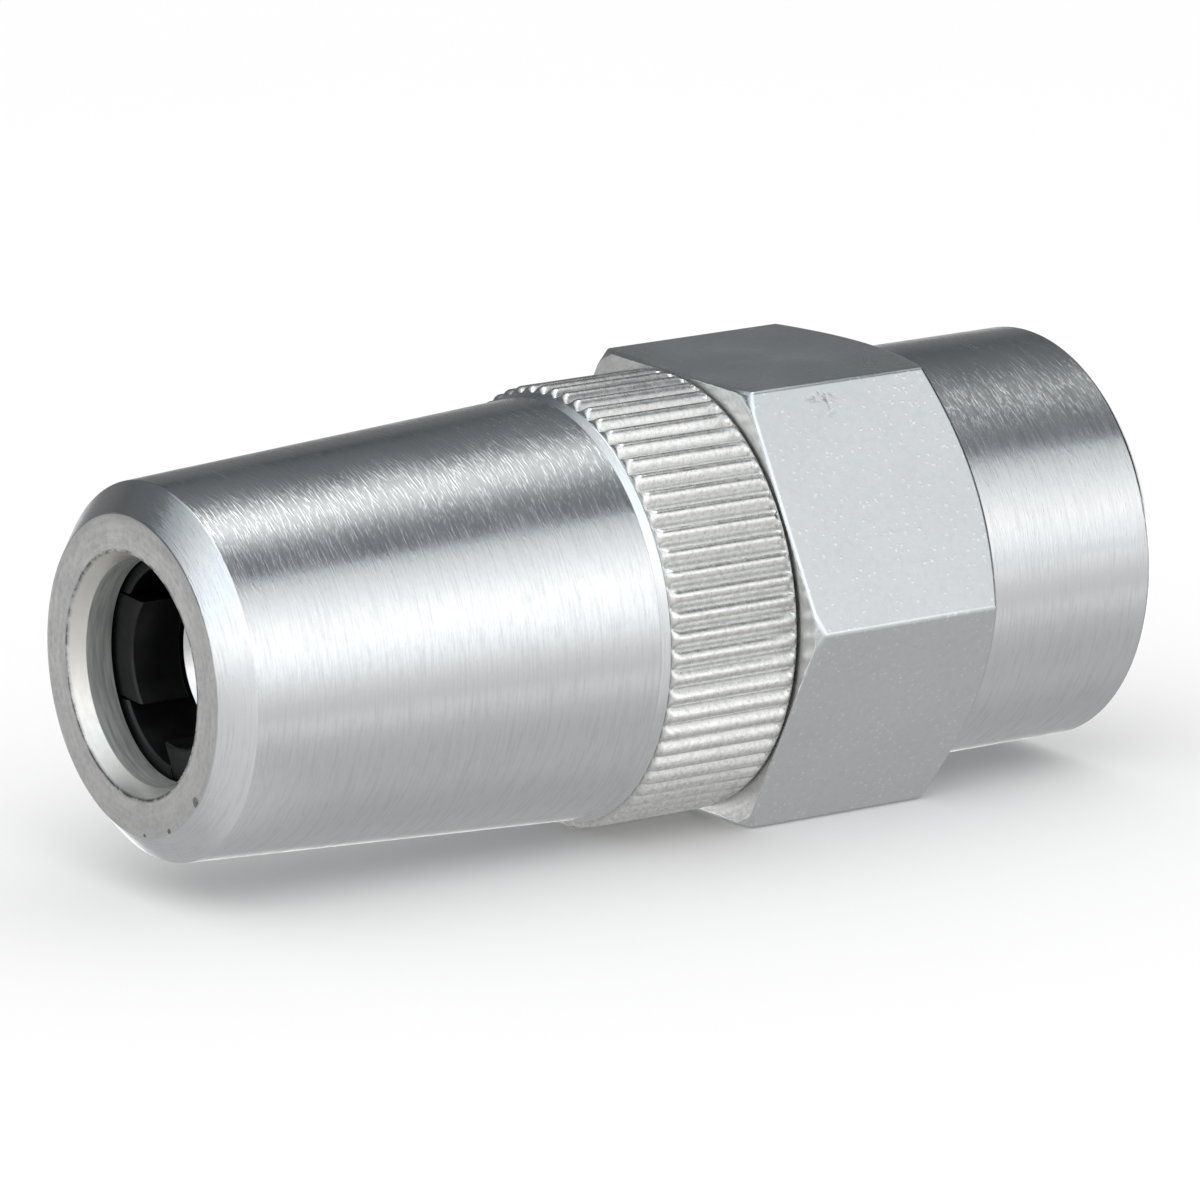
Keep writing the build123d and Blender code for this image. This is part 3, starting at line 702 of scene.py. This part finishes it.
def buildJaw(s, number):
    bm = bmesh.new()
    drawProfile(bm, [
        (s["front"], s["lipRadius"] + s["edge"], 0),
        (s["front"], s["coneRadius"] - s["edge"], 0),
        (s["front"] + s["edge"], s["coneRadius"] + s["coneStep"], 0),
        (s["taperRear"], s["backRadius"], 0),
        (s["rear"], s["backRadius"], 0),
        (s["rear"], s["pocketRadius"], 0),
        (s["grooveCentre"] + s["grooveHalf"], s["pocketRadius"], 0),
        (s["grooveCentre"] + s["grooveHalf"], s["grooveRadius"], 0),
        (s["grooveCentre"] - s["grooveHalf"], s["grooveRadius"], 0),
        (s["grooveCentre"] - s["grooveHalf"], s["pocketRadius"], 0),
        (s["pocketFront"], s["pocketRadius"], 0),
        (s["lipRear"], s["lipRadius"], 0),
        (s["front"] + s["edge"], s["lipRadius"], 0),
    ])
    turn(bm, s["steps"], math.radians(-s["sweep"] / 2), math.radians(s["sweep"]))
    for side in (1, -1):
        cutFlat(bm, Vector((0, side * s["width"] / 2 * mm, 0)), Vector((0, side, 0)))
    bmesh.ops.recalc_face_normals(bm, faces=bm.faces)
    breakEdges(bm, sharpEdges(bm, 25), s["softness"])
    # the profile stands on +Z; the first jaw's middle lies at its turn from +Y towards +Z
    angle = math.radians(s["turn"] + 360 / s["count"] * number - 90)
    bmesh.ops.rotate(bm, verts=bm.verts, matrix=Matrix.Rotation(angle, 3, "X"))
    name = f"jaw_{number + 1}"
    return finishPiece(bm, f"grippingJaw{number + 1}", name, name, [blackSteel],
                       sharpAngle=35)


for number in range(jaws["count"]):
    buildJaw(jaws, number)

# the two coil springs, plain helices of round wire
springs = {
    "driveSpring": {"node": "main_spring", "turns": 6, "wire": 0.9, "coilSteps": 40, "wireSides": 12,
                    "joint": "plunger_slide", "travel": 2.1, "rests": "rear"},
    "valveSpring": {"node": "check_spring", "turns": 3, "wire": 0.3, "coilSteps": 40, "wireSides": 12,
                    "joint": "check_ball_lift", "travel": 0.7, "rests": "front"},
}


def buildSpring(name, s):
    bm = bmesh.new()
    low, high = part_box(s["node"])
    length = high.x - low.x
    wireRadius = s["wire"] / 2 * mm
    coilRadius = (high.y - low.y) / 2 - wireRadius
    rise = length - 2 * wireRadius
    bmesh.ops.create_circle(bm, cap_ends=True, segments=s["wireSides"], radius=wireRadius)
    bmesh.ops.rotate(bm, verts=bm.verts, matrix=Matrix.Rotation(math.radians(90), 3, "X"))
    bmesh.ops.translate(bm, verts=bm.verts, vec=(low.x + wireRadius, 0, coilRadius))
    steps = s["turns"] * s["coilSteps"]
    bmesh.ops.spin(
        bm, geom=bm.verts[:] + bm.edges[:] + bm.faces[:], cent=(0, 0, 0), axis=(-1, 0, 0),
        dvec=(rise / steps, 0, 0), angle=-math.tau * s["turns"], steps=steps, use_merge=False,
    )
    piece = finishPiece(bm, name, "connector", s["node"], [innerFinishes["springSteel"]])
    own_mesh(piece)


for name, spring in springs.items():
    buildSpring(name, spring)

# finishes of the frame's own pieces
nodeFinishes = {
    "sleeve_lock_ring": innerFinishes["naturalNylon"],
    "valve_retainer": innerFinishes["plainSteel"],
    "check_ball": innerFinishes["polishedSteel"],
    "check_spring": innerFinishes["springSteel"],
    "plunger": innerFinishes["brightSteel"],
    "nipple_seal": innerFinishes["sealRubber"],
    "plunger_packing": innerFinishes["sealRubber"],
    "packing_backup_ring": innerFinishes["backupPlastic"],
    "main_spring": innerFinishes["springSteel"],
    "jaw_carrier": blackSteel,
    "jaw_spreader_ring": innerFinishes["springSteel"],
    "nose_sleeve": turnedZinc,
    "hex_body": turnedZinc,
    "jaw_1": blackSteel,
    "jaw_2": blackSteel,
    "jaw_3": blackSteel,
}
for name, material in nodeFinishes.items():
    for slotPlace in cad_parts[name].material_slots:
        slotPlace.material = material
print("inner pieces finished")

# the studio
studio = {
    "floorColour": (0.96, 0.96, 0.96), "floorSize": 3.0, "floorLevel": -7.56, "floorMottle": 0.995,
    "cardSize": 0.4, "cardLevel": -14.0, "cardFront": (-0.033, -0.027), "cardStrength": 1.8,
    "worldDiffuse": 0.95, "keyPower": 1.7, "keySize": 0.7, "keyPlace": (-0.35, -0.55, 0.75),
    # the fades and spots are places along X; a spot's are its start, full from, full to, end and power
    "screenRadius": 0.40, "screenEnds": (-1.6, 5.0), "screenSteps": 96, "screenStrength": 1.5,
    "coolTint": (0.90, 0.99, 1.06), "frontFade": (-0.03, 0.06), "rearFade": (0.195, 0.24),
    "lampFade": (0.19, 0.24), "lampRest": 0.13,
    "frontSpot": (-0.02, 0.02, 0.092, 0.138, 2.6), "rearSpot": (0.31, 0.35, 0.40, 0.46, 0.9),
    "farFade": (0.54, 0.72), "farTone": 0.10,
}
# brightness of the studio screen by its angle round the part, from the floor behind it over the top to
# the floor before it: angle in degrees; tones ahead of the nose, beside the nose and beside the inlet;
# lamp; spots; how cool the tones are
screenRows = [
    (-112, 0.80, 0.70, 1.45, 0, 0, 0),
    (-102, 0.60, 0.56, 1.40, 0, 0, 0),
    (-98, 0.40, 0.46, 1.30, 0, 0, 0),
    (-93, 0.24, 0.31, 0.95, 0, 0, 0),
    (-86, 0.19, 0.18, 0.21, 0, 0, 0.2),
    (-74, 0.14, 0.155, 0.165, 0, 0, 0.2),
    (-68, 0.11, 0.145, 0.150, 0, 0, 0.4),
    (-62, 0.13, 0.075, 0.095, 0, 0, 0.8),
    (-52, 0.135, 0.135, 0.115, 0, 0, 0.9),
    (-44, 0.15, 0.15, 0.13, 0, 0, 0.8),
    (-38, 0.37, 0.172, 0.15, 0, 0, 0.8),
    (-28, 0.54, 0.19, 0.17, 0, 0, 0.7),
    (-21, 0.69, 0.21, 0.18, 0.16, 0.40, 0.5),
    (-14, 0.78, 0.22, 0.18, 0.53, 0.91, 0.4),
    (-5, 0.98, 0.22, 0.18, 0.61, 1.0, 0.4),
    (2, 1.04, 0.21, 0.175, 0.40, 0.76, 0.5),
    (9, 1.12, 0.20, 0.18, 0.11, 0.30, 0.7),
    (16, 1.20, 0.185, 0.185, 0.01, 0.05, 0.8),
    (28.5, 1.24, 0.170, 0.19, 0, 0, 0.8),
    (32, 1.22, 0.58, 0.60, 0, 0, 0.5),
    (35, 1.24, 0.68, 0.68, 0, 0, 0.4),
    (38, 1.26, 0.76, 0.72, 0, 0, 0.3),
    (48, 1.30, 0.95, 0.86, 0, 0, 0.2),
    (60, 1.28, 1.22, 1.03, 0, 0, 0),
    (70, 1.20, 1.34, 1.12, 0, 0, 0),
    (80, 1.02, 1.26, 1.04, 0, 0, 0.1),
    (90, 0.90, 1.04, 0.82, 0, 0, 0.3),
    (96, 0.84, 0.84, 0.60, 0, 0, 0.4),
]


def stagePlane(name, build, material):
    bm = bmesh.new()
    build(bm)
    mesh = bpy.data.meshes.new(name)
    bm.to_mesh(mesh)
    bm.free()
    mesh.materials.append(material)
    plane = bpy.data.objects.new(name, mesh)
    bpy.context.scene.collection.objects.link(plane)
    return plane


def buildFloor(s):
    paper = Finish("studioFloor")
    mottle = paper.noise(paper.coords, 30, 2, 0.5)
    darker = tuple(part * s["floorMottle"] for part in s["floorColour"])
    colour = paper.tint(mottle, [(0.3, darker), (0.7, s["floorColour"])])
    material = paper.done(colour, 0.9, Metallic=0.0, Specular_IOR_Level=0.0)

    def sheet(bm):
        bmesh.ops.create_grid(bm, x_segments=1, y_segments=1, size=s["floorSize"])
        bmesh.ops.translate(bm, verts=bm.verts, vec=(0, 0, s["floorLevel"] * mm))

    # reflections see the card below in the floor's place
    stagePlane("studioFloor", sheet, material).visible_glossy = False


# a finish that only glows, whose glow depends on the place
def startGlow(name):
    glow = Finish(name)
    glow.nodes.remove(glow.shader)
    glow.shader = glow.add("ShaderNodeEmission")
    output = glow.nodes["Material Output"]
    glow.link(glow.shader.outputs[0], output.inputs["Surface"])
    glow.place = glow.add("ShaderNodeSeparateXYZ")
    glow.link(glow.coords, glow.place.inputs[0])
    return glow


def onlyReflected(plane):
    plane.visible_camera = False
    plane.visible_diffuse = False
    plane.visible_shadow = False
    plane.visible_transmission = False


def buildScreen(s, rows):
    glow = startGlow("studioScreen")
    x, y, z = glow.place.outputs
    first, last = rows[0][0], rows[-1][0]
    angle = glow.maths("ARCTAN2", glow.maths("MULTIPLY", y, -1), z)
    along = glow.spread(angle, 0.0, 1.0, math.radians(first), math.radians(last))
    strongest = s["screenStrength"]

    def ramp(column, tinted=True):
        stops = []
        for row in rows:
            cool = row[6] if tinted else 0
            tint = [1 + (part - 1) * cool for part in s["coolTint"]]
            tone = tuple(row[column] * part / strongest for part in tint)
            stops.append(((row[0] - first) / (last - first), tone))
        return glow.tint(along, stops)

    def mixed(factor, one, other, kind="MIX"):
        node = glow.add("ShaderNodeMix", data_type="RGBA", blend_type=kind)
        glow.link(factor, node.inputs[0])
        glow.link(one, node.inputs[6])
        glow.link(other, node.inputs[7])
        return node.outputs[2]

    pastNose = glow.spread(x, 0.0, 1.0, *s["frontFade"])
    tones = mixed(pastNose, ramp(1), ramp(2))
    tones = mixed(glow.spread(x, 0.0, 1.0, *s["rearFade"]), tones, ramp(3))
    lamp = glow.maths("MULTIPLY", glow.spread(x, 1.0, s["lampRest"], *s["lampFade"]), pastNose)
    tones = mixed(lamp, tones, ramp(4, False), "ADD")
    spot = 0.0
    for start, full, fade, end, power in (s["frontSpot"], s["rearSpot"]):
        rise, fall = glow.spread(x, 0.0, power, start, full), glow.spread(x, 1.0, 0.0, fade, end)
        spot = glow.maths("MULTIPLY_ADD", rise, fall, spot)
    bright = glow.add("ShaderNodeVectorMath", operation="SCALE")
    glow.link(ramp(5, False), bright.inputs[0])
    glow.link(spot, bright.inputs["Scale"])
    whole = glow.add("ShaderNodeVectorMath", operation="ADD")
    glow.link(tones, whole.inputs[0])
    glow.link(bright.outputs[0], whole.inputs[1])
    glow.link(whole.outputs[0], glow.shader.inputs["Color"])
    # the studio's far end is dark, which the rear edges of the flats show
    strength = glow.spread(x, strongest, strongest * s["farTone"], *s["farFade"])
    glow.link(strength, glow.shader.inputs["Strength"])

    def arc(bm):
        ends = [bm.verts.new((x, 0, s["screenRadius"])) for x in s["screenEnds"]]
        bm.edges.new(ends)
        turn(bm, s["screenSteps"], math.radians(first), math.radians(last - first))

    onlyReflected(stagePlane("studioScreen", arc, glow.material))


# what the metal sees of the table: a glowing card that the camera doesn't see, toned along Y in
# millimetres, once for what lies beneath the part and once for what lies before its nose; the tones
# are painted reflection of the table, with painted shadow where they dip near the part
cardTones = [
    (-390, 0.95), (-225, 0.91), (-90, 0.76), (-56, 0.66), (-41, 0.61), (-32, 0.70), (-26, 0.65),
    (-22, 0.55), (-18.6, 0.515), (-16, 0.49), (-12, 0.475), (-8.6, 0.475), (-5, 0.42), (-1, 0.405),
    (3, 0.42), (5.5, 0.40), (7.6, 0.42), (9.5, 0.56), (13, 1.10), (20, 1.60), (35, 1.40), (60, 0.95),
    (100, 0.78), (200, 0.48), (390, 0.36),
]
noseTones = [
    (-390, 0.95), (-90, 0.80), (-44, 0.74), (-32, 0.70), (-16, 0.67), (-10, 0.64), (-6, 0.61),
    (-3, 0.55), (-0.5, 0.47), (2, 0.46), (6, 0.46), (10, 0.43), (15, 0.42), (20, 0.46), (29, 0.475),
    (35, 0.48), (40, 0.53), (46, 0.59), (50, 0.65), (54, 0.70), (60, 0.72), (66, 0.68), (70, 0.64),
    (110, 0.42), (163, 0.33), (390, 0.30),
]


def buildCard(s, tones, frontTones):
    glow = startGlow("tableCard")
    x, y, _ = glow.place.outputs
    # the distances are bunched near the part, so the curves run on their cube root
    root = glow.maths("POWER", glow.maths("ABSOLUTE", y), 1 / 3)
    root = glow.maths("MULTIPLY", root, glow.maths("SIGN", y))
    edge = (tones[-1][0] * mm) ** (1 / 3)
    along = glow.spread(root, 0.0, 1.0, -edge, edge)
    strongest = s["cardStrength"]

    def curve(rows):
        node = glow.add("ShaderNodeFloatCurve")
        glow.link(along, node.inputs["Value"])
        points = node.mapping.curves[0].points
        while len(points) < len(rows):
            points.new(0.5, 0.5)
        for point, (place, tone) in zip(points, rows):
            bunched = math.copysign(abs(place * mm) ** (1 / 3), place)
            point.location = ((bunched / edge + 1) / 2, tone / strongest)
            point.handle_type = "VECTOR"
        node.mapping.update()
        return node.outputs[0]

    beneath = glow.spread(x, 0.0, 1.0, *s["cardFront"])
    before = glow.maths("SUBTRACT", 1.0, beneath)
    # painted reflection of the table, with the part's shadow painted in where the tones dip
    tone = glow.blend(curve(tones), beneath, curve(frontTones), before)
    glow.link(glow.maths("MULTIPLY", tone, strongest), glow.shader.inputs["Strength"])

    def sheet(bm):
        bmesh.ops.create_grid(bm, x_segments=1, y_segments=1, size=s["cardSize"])
        bmesh.ops.translate(bm, verts=bm.verts, vec=(0, 0, s["cardLevel"] * mm))

    onlyReflected(stagePlane("tableCard", sheet, glow.material))


def buildWorld(s):
    world = bpy.data.worlds.new("studioWorld")
    bpy.context.scene.world = world
    world.use_nodes = True
    nodes, links = world.node_tree.nodes, world.node_tree.links
    background = nodes["Background"]
    background.inputs["Color"].default_value = (1, 1, 1, 1)
    # white to the camera, to reflections and through glass, a little less as the soft light
    path = nodes.new("ShaderNodeLightPath")
    seen = path.outputs["Is Camera Ray"]
    for ray in ("Is Glossy Ray", "Is Transmission Ray"):
        either = nodes.new("ShaderNodeMath")
        either.operation = "MAXIMUM"
        links.new(seen, either.inputs[0])
        links.new(path.outputs[ray], either.inputs[1])
        seen = either.outputs[0]
    level = nodes.new("ShaderNodeMapRange")
    level.inputs["To Min"].default_value = s["worldDiffuse"]
    level.inputs["To Max"].default_value = 1.0
    links.new(seen, level.inputs["Value"])
    links.new(level.outputs[0], background.inputs["Strength"])


def buildKeyLight(s):
    lamp = bpy.data.lights.new("keyLight", "AREA")
    lamp.shape = "SQUARE"
    lamp.size = s["keySize"]
    lamp.energy = s["keyPower"]
    light = bpy.data.objects.new("keyLight", lamp)
    bpy.context.scene.collection.objects.link(light)
    light.location = s["keyPlace"]
    aim = Vector((noseX / 2, 0, 0)) - Vector(s["keyPlace"])
    light.rotation_euler = aim.to_track_quat("-Z", "Y").to_euler()
    light.visible_glossy = False


# the photograph's camera: a long lens a little above the part, to the left of its side
cameraView = {
    "fromNose": (-0.163448, -0.272767, 0.079141), "lens": 300.9, "sensor": 36, "sees": (0.01, 20),
    "right": (0.83121, -0.55593, -0.00600), "up": (0.13534, 0.19186, 0.97204),
}


def buildCamera(s):
    camera = bpy.data.cameras.new("photoCamera")
    camera.lens = s["lens"]
    camera.sensor_width = s["sensor"]
    camera.clip_start, camera.clip_end = s["sees"]
    view = bpy.data.objects.new("photoCamera", camera)
    bpy.context.scene.collection.objects.link(view)
    right, up = Vector(s["right"]).normalized(), Vector(s["up"]).normalized()
    back = right.cross(up).normalized()
    up = back.cross(right)
    turned = Matrix((right, up, back)).transposed().to_4x4()
    view.matrix_world = Matrix.Translation(Vector(s["fromNose"]) + Vector((noseX, 0, 0))) @ turned
    bpy.context.scene.camera = view


buildFloor(studio)
buildScreen(studio, screenRows)
buildCard(studio, cardTones, noseTones)
buildWorld(studio)
buildKeyLight(studio)
buildCamera(cameraView)
bpy.context.scene.view_settings.view_transform = "Standard"
print("studio set")
